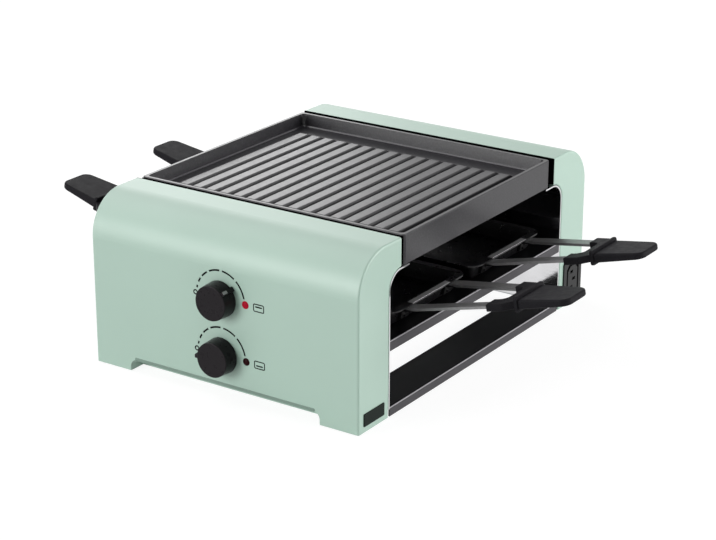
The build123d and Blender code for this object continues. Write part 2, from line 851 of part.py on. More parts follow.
with BuildPart() as rivets:
    with BuildSketch(wall_plane.offset(-pan_sheet)):
        with Locations((-arm_spread, -rivet_drop), (arm_spread, -rivet_drop)):
            Circle(rivet_radius)
    extrude(amount=pan_sheet + arm_sheet)
    with BuildSketch(wall_plane.offset(-pan_sheet)):
        with Locations((-arm_spread, -rivet_drop), (arm_spread, -rivet_drop)):
            Circle(rivet_head_radius)
    extrude(amount=-rivet_head, taper=30)
    with BuildSketch(wall_plane.offset(arm_sheet)):
        with Locations((-arm_spread, -rivet_drop), (arm_spread, -rivet_drop)):
            Circle(rivet_head_radius)
    extrude(amount=rivet_head, taper=30)

tilt = radians(grip_rise)
grip_dir = (cos(tilt), 0, sin(tilt))
grip_origin = (pan_x + pan_size / 2 + grip_start, pan_y, grip_z)
grip_top = Plane(grip_origin, x_dir=grip_dir, z_dir=(-sin(tilt), 0, cos(tilt)))
grip_side = Plane(grip_origin, x_dir=grip_dir, z_dir=(0, -1, 0))
tip_top = -tip_drop


def ahead_of_guard(edge):
    """whether an edge of the grip lies between the prong ends and the guard"""
    return grip_top.to_local_coords(edge.center()).X < guard_at - 0.1


def behind_guard(edge):
    """whether an edge of the grip lies between the guard and the tip"""
    return grip_top.to_local_coords(edge.center()).X > guard_at + 0.1


with BuildPart() as prongs:
    with BuildSketch(grip_top) as plan:
        Polygon(
            (0, -prong_half),
            (prong_reach, prong_narrow - prong_half),
            (guard_at, -palm_half),
            (guard_at, palm_half),
            (prong_reach, prong_half - prong_narrow),
            (0, prong_half),
            align=None,
        )
        fillet(plan.vertices().group_by(Axis.X)[1], shoulder_radius)
        with BuildSketch(mode=Mode.PRIVATE) as crotch:
            Rectangle(2 * crotch_depth, 2 * crotch_half)
            fillet(crotch.vertices(), crotch_radius)
        add(crotch.sketch, mode=Mode.SUBTRACT)
    extrude(amount=-prong_thickness)
    fillet(prongs.edges().filter_by(ahead_of_guard), prong_edge)

with BuildPart() as palm:
    with BuildSketch(grip_top) as plan:
        Polygon(
            (guard_at, -palm_half),
            (grip_length, -tip_half),
            (grip_length, tip_half),
            (guard_at, palm_half),
            align=None,
        )
        fillet(plan.vertices().group_by(Axis.X)[-1], tip_radius)
    extrude(amount=2 * palm_thickness, both=True)
    with BuildSketch(grip_side):
        Polygon(
            (guard_at, palm_swell),
            (grip_length, tip_top),
            (grip_length, tip_top - tip_thickness),
            (guard_at, palm_swell - palm_thickness),
            align=None,
        )
    extrude(amount=2 * palm_half, both=True, mode=Mode.INTERSECT)
    fillet(palm.edges().filter_by(behind_guard), palm_edge)

with BuildPart() as grip:
    add(prongs.part)
    add(palm.part)
    guard_plane = Plane(
        (grip_origin[0] + guard_at * cos(tilt), pan_y, grip_z + guard_at * sin(tilt)),
        x_dir=(0, 1, 0),
        z_dir=grip_dir,
    )
    guard_high = guard_crest + palm_thickness - palm_swell + guard_under
    with BuildPart(mode=Mode.PRIVATE) as guard:
        with BuildSketch(guard_plane):
            with Locations((0, guard_crest - guard_high / 2)):
                RectangleRounded(2 * (palm_half + guard_side), guard_high, guard_corner)
        extrude(amount=guard_width / 2, both=True)
        fillet(guard.edges().filter_by(GeomType.LINE).filter_by(Axis(grip_origin, grip_dir), reverse=True), guard_edge)
    add(guard.part)
    add(arm_strips(socket_clear), mode=Mode.SUBTRACT)

for name, planes in (
    ("front_right", (middle,)),
    ("rear_right", ()),
    ("front_left", (Plane.YZ, middle)),
    ("rear_left", (Plane.YZ,)),
):
    for piece, source in (("pan", pan), ("arms", arms), ("rivets", rivets), ("grip", grip)):
        with BuildPart() as placed:
            add(source.part)
            for plane in planes:
                mirror(about=plane, mode=Mode.REPLACE)
        save(placed.part, name + "_" + piece)

# Controls
for name, level, angle in (
    ("upper", upper_knob_z, upper_knob_angle),
    ("lower", lower_knob_z, lower_knob_angle),
):
    with BuildPart() as knob:
        add(control_knob(level, angle))
    save(knob.part, name + "_knob")
    with BuildPart() as shaft:
        add(spindle(level, angle))
    save(shaft.part, name + "_spindle")
    with BuildPart() as regulator:
        add(thermostat(level))
    save(regulator.part, name + "_thermostat")
    with BuildPart() as lens:
        add(pilot_lens(level))
    save(lens.part, name + "_pilot_lens")
    with BuildPart() as lamp:
        add(pilot_lamp(level))
    save(lamp.part, name + "_pilot_lamp")

control_y = front_y + sheet + control_standoff
control_base = notch_top + sheet
with BuildPart() as control_bracket:
    with BuildSketch(Plane.YZ.offset(-control_left)):
        Polygon(
            (control_y, control_base),
            (control_y, control_top),
            (control_y + control_sheet, control_top),
            (control_y + control_sheet, control_base + control_sheet),
            (control_y + control_foot, control_base + control_sheet),
            (control_y + control_foot, control_base),
            align=None,
        )
    extrude(amount=control_left + control_right)
    with BuildSketch(front_face):
        with Locations((0, upper_knob_z), (0, lower_knob_z)):
            Circle(bushing_radius + spindle_clear)
        with Locations((pilot_offset, upper_knob_z), (pilot_offset, lower_knob_z)):
            Circle(pilot_radius + pilot_shoulder + spindle_clear)
    extrude(amount=-depth / 4, mode=Mode.SUBTRACT)
save(control_bracket.part, "control_bracket")

with BuildPart() as thermostat_nuts:
    with BuildSketch(Plane.XZ.offset(-control_y)):
        with Locations((0, upper_knob_z), (0, lower_knob_z)):
            RegularPolygon(nut_flats / 2, 6, major_radius=False)
            Circle(bushing_radius + spindle_clear, mode=Mode.SUBTRACT)
    extrude(amount=nut_height)
save(thermostat_nuts.part, "thermostat_nuts")

# Appliance outlet for the next grill at the right, inlet with its pins at the left
with BuildPart() as power_outlet:
    add(socket_body())
    extrude(socket_core(core_trench), amount=-socket_well_depth, mode=Mode.SUBTRACT)
    extrude(socket_core(0), amount=-socket_well_depth)
    extrude(contact_outline(contact_clear, socket_proud), amount=-socket_well_depth, mode=Mode.SUBTRACT)
save(power_outlet.part, "power_outlet")

pin_back = socket_proud - socket_well_depth - pin_root
with BuildPart() as power_inlet:
    add(socket_body())
    extrude(socket_core(contact_clear), amount=-socket_well_depth, mode=Mode.SUBTRACT)
    extrude(contact_outline(spindle_clear, pin_back), amount=pin_length, mode=Mode.SUBTRACT)
    mirror(about=Plane.YZ, mode=Mode.REPLACE)
save(power_inlet.part, "power_inlet")

with BuildPart() as inlet_pins:
    extrude(contact_outline(0, pin_back), amount=pin_length)
    mirror(about=Plane.YZ, mode=Mode.REPLACE)
save(inlet_pins.part, "inlet_pins")

terminal_y = rear_y - (toe_depth + sheet + side_depth) / 2
with BuildPart() as terminal_block:
    with Locations((0, terminal_y, base_top)):
        Box(terminal_length, terminal_width, terminal_height, align=(Align.CENTER, Align.CENTER, Align.MIN))
    with BuildSketch(Plane.XY.offset(base_top + terminal_height)):
        with Locations((0, terminal_y)):
            with GridLocations(terminal_pitch, terminal_width / 2, terminal_count, 2):
                Circle(terminal_bore)
    extrude(amount=-terminal_depth, mode=Mode.SUBTRACT)
save(terminal_block.part, "terminal_block")
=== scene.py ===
import json
import math
import bmesh
import bpy
from mathutils import Matrix, Vector


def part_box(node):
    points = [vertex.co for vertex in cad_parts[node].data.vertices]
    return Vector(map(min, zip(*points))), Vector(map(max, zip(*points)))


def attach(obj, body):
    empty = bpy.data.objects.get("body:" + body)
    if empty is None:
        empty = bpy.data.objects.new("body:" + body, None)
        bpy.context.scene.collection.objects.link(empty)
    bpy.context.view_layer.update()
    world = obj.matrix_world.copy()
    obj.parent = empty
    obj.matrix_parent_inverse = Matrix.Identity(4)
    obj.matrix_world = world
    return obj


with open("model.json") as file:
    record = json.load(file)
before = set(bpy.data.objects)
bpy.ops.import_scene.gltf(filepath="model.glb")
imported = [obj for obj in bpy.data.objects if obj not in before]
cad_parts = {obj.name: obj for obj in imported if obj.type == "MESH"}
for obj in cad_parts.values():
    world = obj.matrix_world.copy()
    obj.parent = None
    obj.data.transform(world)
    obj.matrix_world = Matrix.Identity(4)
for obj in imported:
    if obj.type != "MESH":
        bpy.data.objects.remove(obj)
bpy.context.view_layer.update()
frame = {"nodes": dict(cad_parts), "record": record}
nodes = frame["nodes"]
mm = 0.001
print("frame loaded:", len(nodes), "nodes")


# Camera, solved from the corners of the housings and the plate; angles in degrees
view = {
    "eye": (0.8923, -1.3054, 0.6498),
    "azimuth": 33.939,
    "elevation": 20.658,
    "roll": 0.121,
    "lens": 103.29,
    "sensor": 36,
    "clip": (0.05, 60),
}


def placeCamera():
    azimuth, elevation, roll = (math.radians(view[key]) for key in ("azimuth", "elevation", "roll"))
    back = Vector((
        math.sin(azimuth) * math.cos(elevation),
        -math.cos(azimuth) * math.cos(elevation),
        math.sin(elevation),
    ))
    level = Vector((math.cos(azimuth), math.sin(azimuth), 0))
    upright = back.cross(level)
    right = level * math.cos(roll) + upright * math.sin(roll)
    up = upright * math.cos(roll) - level * math.sin(roll)
    camera = bpy.data.objects.new("camera", bpy.data.cameras.new("camera"))
    camera.data.lens = view["lens"]
    camera.data.sensor_width = view["sensor"]
    camera.data.clip_start, camera.data.clip_end = view["clip"]
    turned = Matrix((right, up, back)).transposed().to_4x4()
    camera.matrix_world = Matrix.Translation(view["eye"]) @ turned
    bpy.context.scene.collection.objects.link(camera)
    bpy.context.scene.camera = camera


placeCamera()
bpy.context.scene.view_settings.view_transform = "Standard"


# Studio: white floor and world for the camera and the reflections, soft lamps for the light
studio = {
    "seenBy": ("Is Camera Ray", "Is Glossy Ray", "Is Transmission Ray"),
    "floorHalf": 30,
    "floorGlow": 0.9,  # white that the floor has of itself, the rest is lit and holds the shadow
    "floorCatch": 0.2,
    "floorBounce": 0.8,  # grey of the floor for the light that it throws back
    "worldLight": 0.12,
    "lamps": {
        "key": {"place": (-1.3, -3.0, 0.85), "aim": (0, 0, 0.07), "size": 1.8, "power": 59},
        "side": {"place": (2.1, 1.05, 0.65), "aim": (0, 0, 0.07), "size": 1.2, "power": 46},
        "roof": {"place": (-1.8, -0.3, 2.3), "aim": (0, 0, 0.1), "size": 3.2, "power": 42},
        "rear": {"place": (-1.29, 1.28, 0.73), "aim": (-0.1, -0.05, 0.13), "size": 0.82, "power": 4.3},
    },
}


def grey(level):
    return level, level, level, 1


def wire(tree, *pairs):
    for source, target in pairs:
        tree.links.new(source, target)


def joined(tree, kind, one, two):
    step = tree.nodes.new("ShaderNodeMath")
    step.operation = kind
    wire(tree, (one, step.inputs[0]), (two, step.inputs[1]))
    return step.outputs[0]


def splitRays(tree, lighting, seen, out):
    # the first shader lights the object, the second is what the camera and the reflections see
    path = tree.nodes.new("ShaderNodeLightPath")
    share = path.outputs[studio["seenBy"][0]]
    for name in studio["seenBy"][1:]:
        share = joined(tree, "MAXIMUM", share, path.outputs[name])
    mix = tree.nodes.new("ShaderNodeMixShader")
    wire(
        tree,
        (share, mix.inputs[0]),
        (lighting.outputs[0], mix.inputs[1]),
        (seen.outputs[0], mix.inputs[2]),
        (mix.outputs[0], out.inputs["Surface"]),
    )


def setWorld():
    world = bpy.data.worlds.new("studioWorld")
    world.use_nodes = True
    tree = world.node_tree
    tree.nodes.clear()
    kinds = ("Background", "Background", "OutputWorld")
    lighting, seen, out = (tree.nodes.new("ShaderNode" + kind) for kind in kinds)
    lighting.inputs["Color"].default_value = grey(1)
    lighting.inputs["Strength"].default_value = studio["worldLight"]
    seen.inputs["Color"].default_value = grey(1)
    seen.inputs["Strength"].default_value = 1
    splitRays(tree, lighting, seen, out)
    bpy.context.scene.world = world


def setFloor():
    half = studio["floorHalf"]
    mesh = bpy.data.meshes.new("floor")
    mesh.from_pydata([(-half, -half, 0), (half, -half, 0), (half, half, 0), (-half, half, 0)], [], [(0, 1, 2, 3)])
    floor = bpy.data.objects.new("floor", mesh)
    bpy.context.scene.collection.objects.link(floor)
    finish = bpy.data.materials.new("floorWhite")
    finish.use_nodes = True
    tree = finish.node_tree
    tree.nodes.clear()
    kinds = ("BsdfDiffuse", "Emission", "BsdfDiffuse", "AddShader", "OutputMaterial")
    bounce, glow, catch, seen, out = (tree.nodes.new("ShaderNode" + kind) for kind in kinds)
    bounce.inputs["Color"].default_value = grey(studio["floorBounce"])
    glow.inputs["Color"].default_value = grey(1)
    glow.inputs["Strength"].default_value = studio["floorGlow"]
    catch.inputs["Color"].default_value = grey(studio["floorCatch"])
    wire(tree, (glow.outputs[0], seen.inputs[0]), (catch.outputs[0], seen.inputs[1]))
    splitRays(tree, bounce, seen, out)
    mesh.materials.append(finish)


def hangLamps():
    for name, lamp in studio["lamps"].items():
        data = bpy.data.lights.new(name, "AREA")
        data.shape = "DISK"
        data.size = lamp["size"]
        data.energy = lamp["power"]
        thing = bpy.data.objects.new(name, data)
        thing.location = lamp["place"]
        towards = Vector(lamp["aim"]) - Vector(lamp["place"])
        thing.rotation_euler = towards.to_track_quat("-Z", "Y").to_euler()
        bpy.context.scene.collection.objects.link(thing)


setWorld()
setFloor()
hangLamps()
print("camera, floor and lamps set")


# Nodes that every finish is built from
noiseSpan = (0.3, 0.7)  # where nearly all of a noise texture's values lie


def newFinish(name, values):
    finish = bpy.data.materials.new(name)
    finish.use_nodes = True
    tree = finish.node_tree
    shader = tree.nodes["Principled BSDF"]
    settings = {
        "Base Color": (*values["colour"], 1),
        "Roughness": values["roughness"],
        "Metallic": values.get("metallic", 0),
        "Specular IOR Level": values.get("shine", 0.5),
    }
    if "coat" in values:
        settings |= {"Coat Weight": values["coat"], "Coat Roughness": values["roughness"]}
    if "glow" in values:
        settings |= {"Emission Color": (*values["glow"], 1), "Emission Strength": values["glowPower"]}
    for label, value in settings.items():
        shader.inputs[label].default_value = value
    return finish, tree, shader, tree.nodes.new("ShaderNodeTexCoord").outputs["Object"]


def texture(tree, place, kind, size, stretch=(1, 1, 1)):
    scaled = tree.nodes.new("ShaderNodeVectorMath")
    scaled.operation = "MULTIPLY"
    scaled.inputs[1].default_value = [share / size for share in stretch]
    pattern = tree.nodes.new("ShaderNodeTex" + kind)
    pattern.inputs["Scale"].default_value = 1
    wire(tree, (place, scaled.inputs[0]), (scaled.outputs[0], pattern.inputs["Vector"]))
    return pattern


def grain(tree, place, values):
    size, detail, *stretch = values
    noise = texture(tree, place, "Noise", size, *stretch)
    noise.inputs["Detail"].default_value = detail
    return noise.outputs["Fac"]


def spread(tree, value, low, high, span=noiseSpan):
    reach = tree.nodes.new("ShaderNodeMapRange")
    ends = {"From Min": span[0], "From Max": span[1], "To Min": low, "To Max": high}
    for label, number in ends.items():
        reach.inputs[label].default_value = number
    wire(tree, (value, reach.inputs["Value"]))
    return reach.outputs["Result"]


def tint(tree, shader, share, dark, light):
    # each end is a colour or the result of another tint
    mix = tree.nodes.new("ShaderNodeMix")
    mix.data_type = "RGBA"
    ends = [socket for socket in mix.inputs if socket.type == "RGBA"]
    for end, colour in zip(ends, (dark, light)):
        if isinstance(colour, bpy.types.NodeSocket):
            wire(tree, (colour, end))
        else:
            end.default_value = (*colour, 1)
    result = next(socket for socket in mix.outputs if socket.type == "RGBA")
    wire(tree, (share, mix.inputs["Factor"]), (result, shader.inputs["Base Color"]))
    return result


def tones(values):
    # darkest and lightest colour of a finish
    if "vary" in values:
        return [[part * (1 + way * values["vary"]) for part in values["colour"]] for way in (-1, 1)]
    return values.get("dark", values["colour"]), values["light"]


def roughen(tree, shader, share, values, span=noiseSpan):
    less, more = values["swing"]
    rough = spread(tree, share, values["roughness"] - less, values["roughness"] + more, span)
    wire(tree, (rough, shader.inputs["Roughness"]))


def relief(tree, shader, height, deep, under=None):
    bump = tree.nodes.new("ShaderNodeBump")
    bump.inputs["Distance"].default_value, bump.inputs["Strength"].default_value = deep
    wire(tree, (height, bump.inputs["Height"]), (bump.outputs["Normal"], shader.inputs["Normal"]))
    if under is not None:
        wire(tree, (under, bump.inputs["Normal"]))
    return bump.outputs["Normal"]


def fromPlane(tree, place, axis, middle):
    # distance to a plane across one axis
    parts = tree.nodes.new("ShaderNodeSeparateXYZ")
    less, size = (tree.nodes.new("ShaderNodeMath") for i in range(2))
    less.operation = "SUBTRACT"
    size.operation = "ABSOLUTE"
    less.inputs[1].default_value = middle
    wire(tree, (place, parts.inputs[0]), (parts.outputs[axis], less.inputs[0]), (less.outputs[0], size.inputs[0]))
    return size.outputs[0]


def skinFinish(name, values):
    # the skin's grain gives colour, roughness and relief where these have no grain of their own
    finish, tree, shader, place = newFinish(name, values)
    skin = grain(tree, place, values["skin"])
    tone, patch, raised = (
        grain(tree, place, values[key]) if key in values else skin for key in ("tone", "patch", "raised"))
    tint(tree, shader, spread(tree, tone, 0, 1, values.get("span", noiseSpan)), *tones(values))
    if "swing" in values:
        roughen(tree, shader, patch, values)
    under = None
    if "waves" in values:
        under = relief(tree, shader, grain(tree, place, values["waves"]), values["waveDeep"])
    relief(tree, shader, raised, values["deep"], under)
    return finish


# Finishes. Sizes are in metres on the object itself: skin, tone, patch, raised and waves are a grain's size
# and detail, with its stretch where it is drawn out; deep is a relief's height and strength; swing is how far
# the roughness goes down and up; vary is the same for the colour, which else runs from colour to light
paint = {
    "colour": (0.365, 0.528, 0.44), "vary": 0.012, "skin": (60 * mm, 2),
    "roughness": 0.5, "swing": (0.008, 0.008), "patch": (9 * mm, 3),
    "coat": 0.85, "shine": 0.9,
    "raised": (1.6 * mm, 1), "deep": (0.012 * mm, 0.6),
}
mirror = {
    "colour": (0.72, 0.72, 0.73), "vary": 0.04, "tone": (20 * mm, 3),
    "roughness": 0.07, "swing": (0.02, 0.09), "metallic": 1,
    "skin": (0.5 * mm, 2, (0.02, 0.02, 1)), "deep": (0.004 * mm, 0.4),  # rolling lines along the sheet
    "waves": (45 * mm, 1), "waveDeep": (0.12 * mm, 0.5),
}
cast = {
    "colour": (0.014, 0.0132, 0.016), "light": (0.028, 0.0262, 0.031), "span": (0.42, 0.72),
    "roughness": 0.3, "swing": (0.02, 0.03), "patch": (6 * mm, 3),
    "coat": 0.1, "shine": 0.42,
    "skin": (1.6 * mm, 1), "deep": (0.004 * mm, 0.5),
    "waves": (2.5 * mm, 1), "waveDeep": (0.012 * mm, 0.5),
}
coating = {
    "colour": (0.006, 0.0057, 0.0065), "light": (0.014, 0.0135, 0.015), "span": (0.58, 0.78),
    "roughness": 0.3, "swing": (0.05, 0.08), "patch": (7 * mm, 3),
    "shine": 0.3, "skin": (0.6 * mm, 3), "raised": (1.4 * mm, 2), "deep": (0.02 * mm, 0.6),
}
grip = {
    "colour": (0.013, 0.0125, 0.0145), "light": (0.022, 0.021, 0.024), "skin": (0.55 * mm, 3),
    "roughness": 0.42, "swing": (0.04, 0.08), "patch": (5 * mm, 3),
    "shine": 0.03, "deep": (0.03 * mm, 0.55),
}
knob = {
    "colour": (0.012, 0.0098, 0.0118), "vary": 0.12, "skin": (0.4 * mm, 2),
    "roughness": 0.3, "swing": (0.05, 0.05), "patch": (4 * mm, 3),
    "shine": 0.12, "deep": (0.012 * mm, 0.5),
}
lensOff = {
    "colour": (0.022, 0.003, 0.004), "vary": 0.25, "skin": (0.9 * mm, 1),
    "roughness": 0.3, "shine": 0.04, "deep": (0.05 * mm, 0.5),
}
lensOn = {**lensOff, "colour": (0.2, 0.004, 0.012), "glow": (0.72, 0.012, 0.05), "glowPower": 0.24}
heaterTube = {
    "colour": (0.055, 0.05, 0.047), "vary": 0.1, "skin": (1.5 * mm, 3),
    "roughness": 0.42, "swing": (0.06, 0.06), "metallic": 0.6, "deep": (0.02 * mm, 0.5),
}
rubber = {
    "colour": (0.014, 0.014, 0.014), "vary": 0.1, "skin": (0.8 * mm, 3),
    "roughness": 0.7, "swing": (0.06, 0.06), "deep": (0.04 * mm, 0.5),
}
ceramic = {
    "colour": (0.68, 0.65, 0.6), "vary": 0.1, "skin": (0.9 * mm, 3),
    "roughness": 0.55, "swing": (0.06, 0.06), "deep": (0.03 * mm, 0.5),
}
socketBlack = {
    "colour": (0.013, 0.013, 0.0135), "vary": 0.1, "skin": (0.5 * mm, 3),
    "roughness": 0.4, "swing": (0.06, 0.06), "shine": 0.2, "deep": (0.02 * mm, 0.5),
}
brass = {
    "colour": (0.62, 0.45, 0.14), "vary": 0.1, "skin": (0.6 * mm, 3),
    "roughness": 0.25, "swing": (0.06, 0.06), "metallic": 1, "deep": (0.01 * mm, 0.5),
}


# Zinc has spangles in place of a grain
zinc = {
    "colour": (0.5, 0.51, 0.52), "vary": 0.1, "spangle": 5 * mm, "span": (0, 1),
    "roughness": 0.42, "swing": (0.1, 0.1), "metallic": 1,
    "raised": (1.2 * mm, 3), "deep": (0.01 * mm, 0.5),
}


def zincSheet():
    finish, tree, shader, place = newFinish("zincSheet", zinc)
    spangle = texture(tree, place, "Voronoi", zinc["spangle"]).outputs["Color"]
    tint(tree, shader, spread(tree, spangle, 0, 1, zinc["span"]), *tones(zinc))
    roughen(tree, shader, spangle, zinc, zinc["span"])
    relief(tree, shader, grain(tree, place, zinc["raised"]), zinc["deep"])
    return finish


# On the rails and the shelf the turned-down hems are painted paler than the flat tops as painted light from the
# side, and the bends carry a painted highlight line
enamel = {
    "colour": (0.004, 0.004, 0.0045), "shine": 0.03,
    # painted light: the hem colour stands for side light, the bend colour for a highlight on the bend
    "hemSideLight": (0.095, 0.092, 0.098), "hemSpan": (124.4 * mm, 124.5 * mm),  # out from the middle of the grill
    "bend": (0.5, 0.49, 0.51), "bendSpan": (124.7 * mm, 124.8 * mm),
    "tops": (8.0 * mm, 62.0 * mm), "bendDeep": (0.85 * mm, 1.05 * mm),
    "roughness": 0.3, "swing": (0.02, 0.03), "patch": (14 * mm, 3),
    "raised": (3 * mm, 1), "deep": (0.004 * mm, 0.5),
}


def blackEnamel():
    finish, tree, shader, place = newFinish("blackEnamel", enamel)
    across = fromPlane(tree, place, "X", 0)
    rail, shelf = (
        spread(tree, fromPlane(tree, place, "Z", top), 1, 0, enamel["bendDeep"]) for top in enamel["tops"])
    outside = spread(tree, across, 0, 1, enamel["bendSpan"])
    bend = joined(tree, "MULTIPLY", joined(tree, "MAXIMUM", rail, shelf), outside)
    # painted side light on the hems, then a painted highlight along the bends
    hemSideLight = spread(tree, across, 0, 1, enamel["hemSpan"])
    sides = tint(tree, shader, hemSideLight, enamel["colour"], enamel["hemSideLight"])
    tint(tree, shader, bend, sides, enamel["bend"])
    roughen(tree, shader, grain(tree, place, enamel["patch"]), enamel)
    relief(tree, shader, grain(tree, place, enamel["raised"]), enamel["deep"])
    return finish


# Flat strips, drawn along their length, with the toes at the rivets black below a given height
strip = {
    "colour": (0.24, 0.236, 0.24), "vary": 0.15, "lines": (0.35 * mm, 2, (0.03, 1, 1)),
    "toe": (0.012, 0.0118, 0.012), "toeSpan": (74.1 * mm, 74.9 * mm),  # height where the black ends
    "roughness": 0.36, "swing": (0.06, 0.1), "metallic": 0.55,
    "deep": (0.01 * mm, 0.5),
}


# the gain gives a lighter copy of the steel as painted light; the arms keep 1
def drawnSteel(name, paintedLightGain=1.0):
    values = {**strip, "colour": [part * paintedLightGain for part in strip["colour"]]}
    finish, tree, shader, place = newFinish(name, values)
    lines = grain(tree, place, values["lines"])
    drawn = tint(tree, shader, spread(tree, lines, 0, 1), *tones(values))
    height = fromPlane(tree, place, "Z", 0)
    tint(tree, shader, spread(tree, height, 0, 1, values["toeSpan"]), values["toe"], drawn)
    roughen(tree, shader, lines, values)
    relief(tree, shader, lines, values["deep"])
    return finish


finishes = {
    "mint_paint": skinFinish("mintPaint", paint),
    "polished_steel": skinFinish("polishedSteel", mirror),
    "zinc_sheet": zincSheet(),
    "black_enamel": blackEnamel(),
    "cast_plate": skinFinish("castPlate", cast),
    "pan_coating": skinFinish("panCoating", coating),
    "arm_steel": drawnSteel("armSteel"),
    "grip_plastic": skinFinish("gripPlastic", grip),
    "knob_plastic": skinFinish("knobPlastic", knob),
    "lamp_red": skinFinish("lampUnlit", lensOff),
    "dark_metal": skinFinish("darkMetal", heaterTube),
    "foot_rubber": skinFinish("footRubber", rubber),
    "ceramic": skinFinish("ceramic", ceramic),
    "socket_plastic": skinFinish("socketPlastic", socketBlack),
    "contact_brass": skinFinish("contactBrass", brass),
}
litLens = skinFinish("lampLit", lensOn)


def dressNodes():
    for part in frame["record"]["subparts"]:
        thing = nodes[part["node"]]
        finish = finishes[part["material_slot"]]
        if part["node"] == "upper_pilot_lens":
            finish = litLens
        if part["node"].endswith("rivets"):
            finish = finishes["pan_coating"]
        if not thing.material_slots:
            thing.data.materials.append(finish)
        for slot in thing.material_slots:
            slot.material = finish


dressNodes()
print("finishes on all nodes")


# What the added pieces are built with
controls = ("upper", "lower")
sunk = 0.05 * mm  # how far a piece on a wall reaches into it


def middle(name, axis):
    low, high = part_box(name)
    return (low[axis] + high[axis]) / 2


def geometryTree(name, inputs):
    tree = bpy.data.node_groups.new(name, "GeometryNodeTree")
    tree.interface.new_socket("Geometry", in_out="INPUT", socket_type="NodeSocketGeometry")
    for label, kind in inputs.items():
        tree.interface.new_socket(label, in_out="INPUT", socket_type="NodeSocket" + kind)
    tree.interface.new_socket("Geometry", in_out="OUTPUT", socket_type="NodeSocketGeometry")
    return tree, tree.nodes.new("NodeGroupInput"), tree.nodes.new("NodeGroupOutput")


def closeTree(tree, last, out, finish):
    real = tree.nodes.new("GeometryNodeRealizeInstances")
    dressed = tree.nodes.new("GeometryNodeSetMaterial")
    dressed.inputs["Material"].default_value = finish
    wire(tree, (last, real.inputs[0]), (real.outputs[0], dressed.inputs["Geometry"]))
    wire(tree, (dressed.outputs[0], out.inputs[0]))


def grown(tree, values, base=None):
    # what the tree makes, as a plain mesh
    carrier = bpy.data.objects.new("carrier", base or bpy.data.meshes.new("carrier"))
    bpy.context.scene.collection.objects.link(carrier)
    modifier = carrier.modifiers.new("grow", "NODES")
    modifier.node_group = tree
    sockets = {item.name: item.identifier for item in tree.interface.items_tree if item.in_out == "INPUT"}
    for label, value in values.items():
        modifier[sockets[label]] = value
    bpy.context.view_layer.update()
    mesh = bpy.data.meshes.new_from_object(carrier.evaluated_get(bpy.context.evaluated_depsgraph_get()))
    carrier.modifiers.clear()
    bpy.data.objects.remove(carrier)
    return mesh


def asMesh(name, form):
    mesh = bpy.data.meshes.new(name)
    form.to_mesh(mesh)
    form.free()
    return mesh


def addMesh(form, mesh):
    form.from_mesh(mesh)
    bpy.data.meshes.remove(mesh)


def moved(form, matrix):
    bmesh.ops.transform(form, matrix=matrix, verts=form.verts)


def finishPiece(name, form, body, material):
    bmesh.ops.remove_doubles(form, verts=form.verts, dist=0.001 * mm)
    bmesh.ops.recalc_face_normals(form, faces=form.faces)
    mesh = asMesh(name, form)
    mesh.materials.clear()  # also sets the faces back to the first slot
    mesh.materials.append(material)
    piece = bpy.data.objects.new(name, mesh)
    bpy.context.scene.collection.objects.link(piece)
    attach(piece, body)


def walls(form, rows, closed=False):
    # faces between neighbouring loops, and from the last to the first where the form is a ring
    count = len(rows[0])
    for one, two in zip(rows, rows[1:] + rows[:1] if closed else rows[1:]):
        for i in range(count):
            after = (i + 1) % count
            form.faces.new((one[i], one[after], two[after], two[i]))


# Flat drawings are made lying, x to the right and y up, then moved to their face
def band(form, outer, inner, low, high):
    layers = ((outer, low), (outer, high), (inner, high), (inner, low))
    walls(form, [[form.verts.new((x, y, z)) for x, y in loop] for loop, z in layers], closed=True)


def slab(form, loop, low, high, bevel):
    # closed flat piece with its upper edge broken
    turn = 0.3 * bevel
    layers = ((0, low), (0, high - bevel), (turn, high - turn), (bevel, high))
    halfX, halfY = ((max(side) - min(side)) / 2 for side in zip(*loop))
    rows = [
        [form.verts.new((x * (1 - inset / halfX), y * (1 - inset / halfY), z)) for x, y in loop]
        for inset, z in layers
    ]
    walls(form, rows)
    form.faces.new(rows[-1])
    form.faces.new(rows[0][::-1])


def roundedLoop(wide, tall, corner, steps=8):
    loop = []
    for turn, (sideX, sideY) in enumerate(((1, 1), (-1, 1), (-1, -1), (1, -1))):
        for i in range(steps + 1):
            angle = math.radians(90 * turn + 90 * i / steps)
            loop.append((
                sideX * (wide / 2 - corner) + corner * math.cos(angle),
                sideY * (tall / 2 - corner) + corner * math.sin(angle),
            ))
    return loop


def circleLoop(radius, steps=40):
    angles = [2 * math.pi * i / steps for i in range(steps)]
    return [(radius * math.cos(angle), radius * math.sin(angle)) for angle in angles]


# Printed marks on the front face; the dashes are in degrees clockwise from the top
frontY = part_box("front_housing")[0].y
knobZ = {name: middle(name + "_spindle", 2) for name in controls}
dial = {
    "radius": 22.7 * mm,
    "line": 1.4 * mm,
    "dashes": [(-78.8, -73.0), (-65.3, -55.3), (-49.0, -33.0), (-26.9, -1.2), (5.3, 35.4), (41.4, 78.7)],
    "arcSteps": 20,
    "ink": 0.06 * mm,  # how far all print stands on the paint
}
ring = {"x": -23.8 * mm, "up": 0.4 * mm, "outer": 2.2 * mm, "inner": 1.15 * mm}
icon = {
    "x": 35.9 * mm, "wide": 10.2 * mm, "tall": 6.6 * mm, "corner": 1.4 * mm, "line": 0.85 * mm,
    "bar": 6.4 * mm, "barLine": 1.1 * mm, "barCorner": 0.495 * mm, "barBevel": 0.02 * mm,
    "barUp": {"upper": 0.75 * mm, "lower": -0.75 * mm},
}
blackInk = {
    "colour": (0.004, 0.005, 0.005), "dark": (0.003, 0.004, 0.004), "light": (0.007, 0.008, 0.008),
    "roughness": 0.5, "shine": 0.04, "skin": (0.3 * mm, 3), "deep": (0.01 * mm, 0.4),
}


